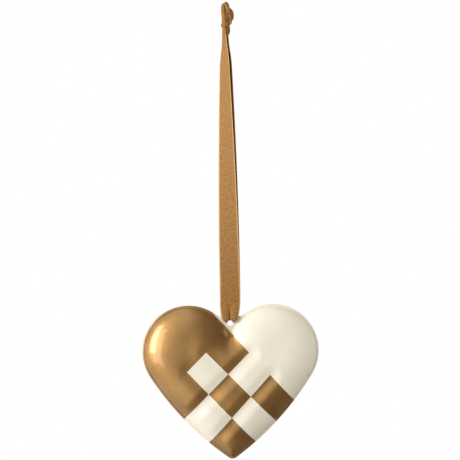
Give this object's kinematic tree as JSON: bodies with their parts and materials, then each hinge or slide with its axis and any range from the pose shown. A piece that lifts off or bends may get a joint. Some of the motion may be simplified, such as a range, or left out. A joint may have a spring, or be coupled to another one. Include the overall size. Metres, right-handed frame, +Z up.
{
  "type": "heart ornament",
  "caption": "Puffed pressed-metal heart ornament with a two-tone woven pattern, crimped rim and a knotted ribbon hanging loop.",
  "frame": {"origin": "inside the top of the ribbon loop, just under the knot, where the ornament hangs", "axes": "+Z up, -Y out of the heart's front face, +X to the right seen from the front"},
  "size_m": [0.08, 0.0134, 0.2082],
  "materials": {
    "gold_and_cream_enamel": "glossy, gold metallic lacquer and cream enamel in a woven check",
    "brown_satin_ribbon": "fine woven satin with picot edges"
  },
  "bodies": {
    "root": {"heart_front": "gold_and_cream_enamel", "heart_back": "gold_and_cream_enamel", "ribbon_loop": "brown_satin_ribbon", "ribbon_knot": "brown_satin_ribbon"}
  },
  "joints": []
}
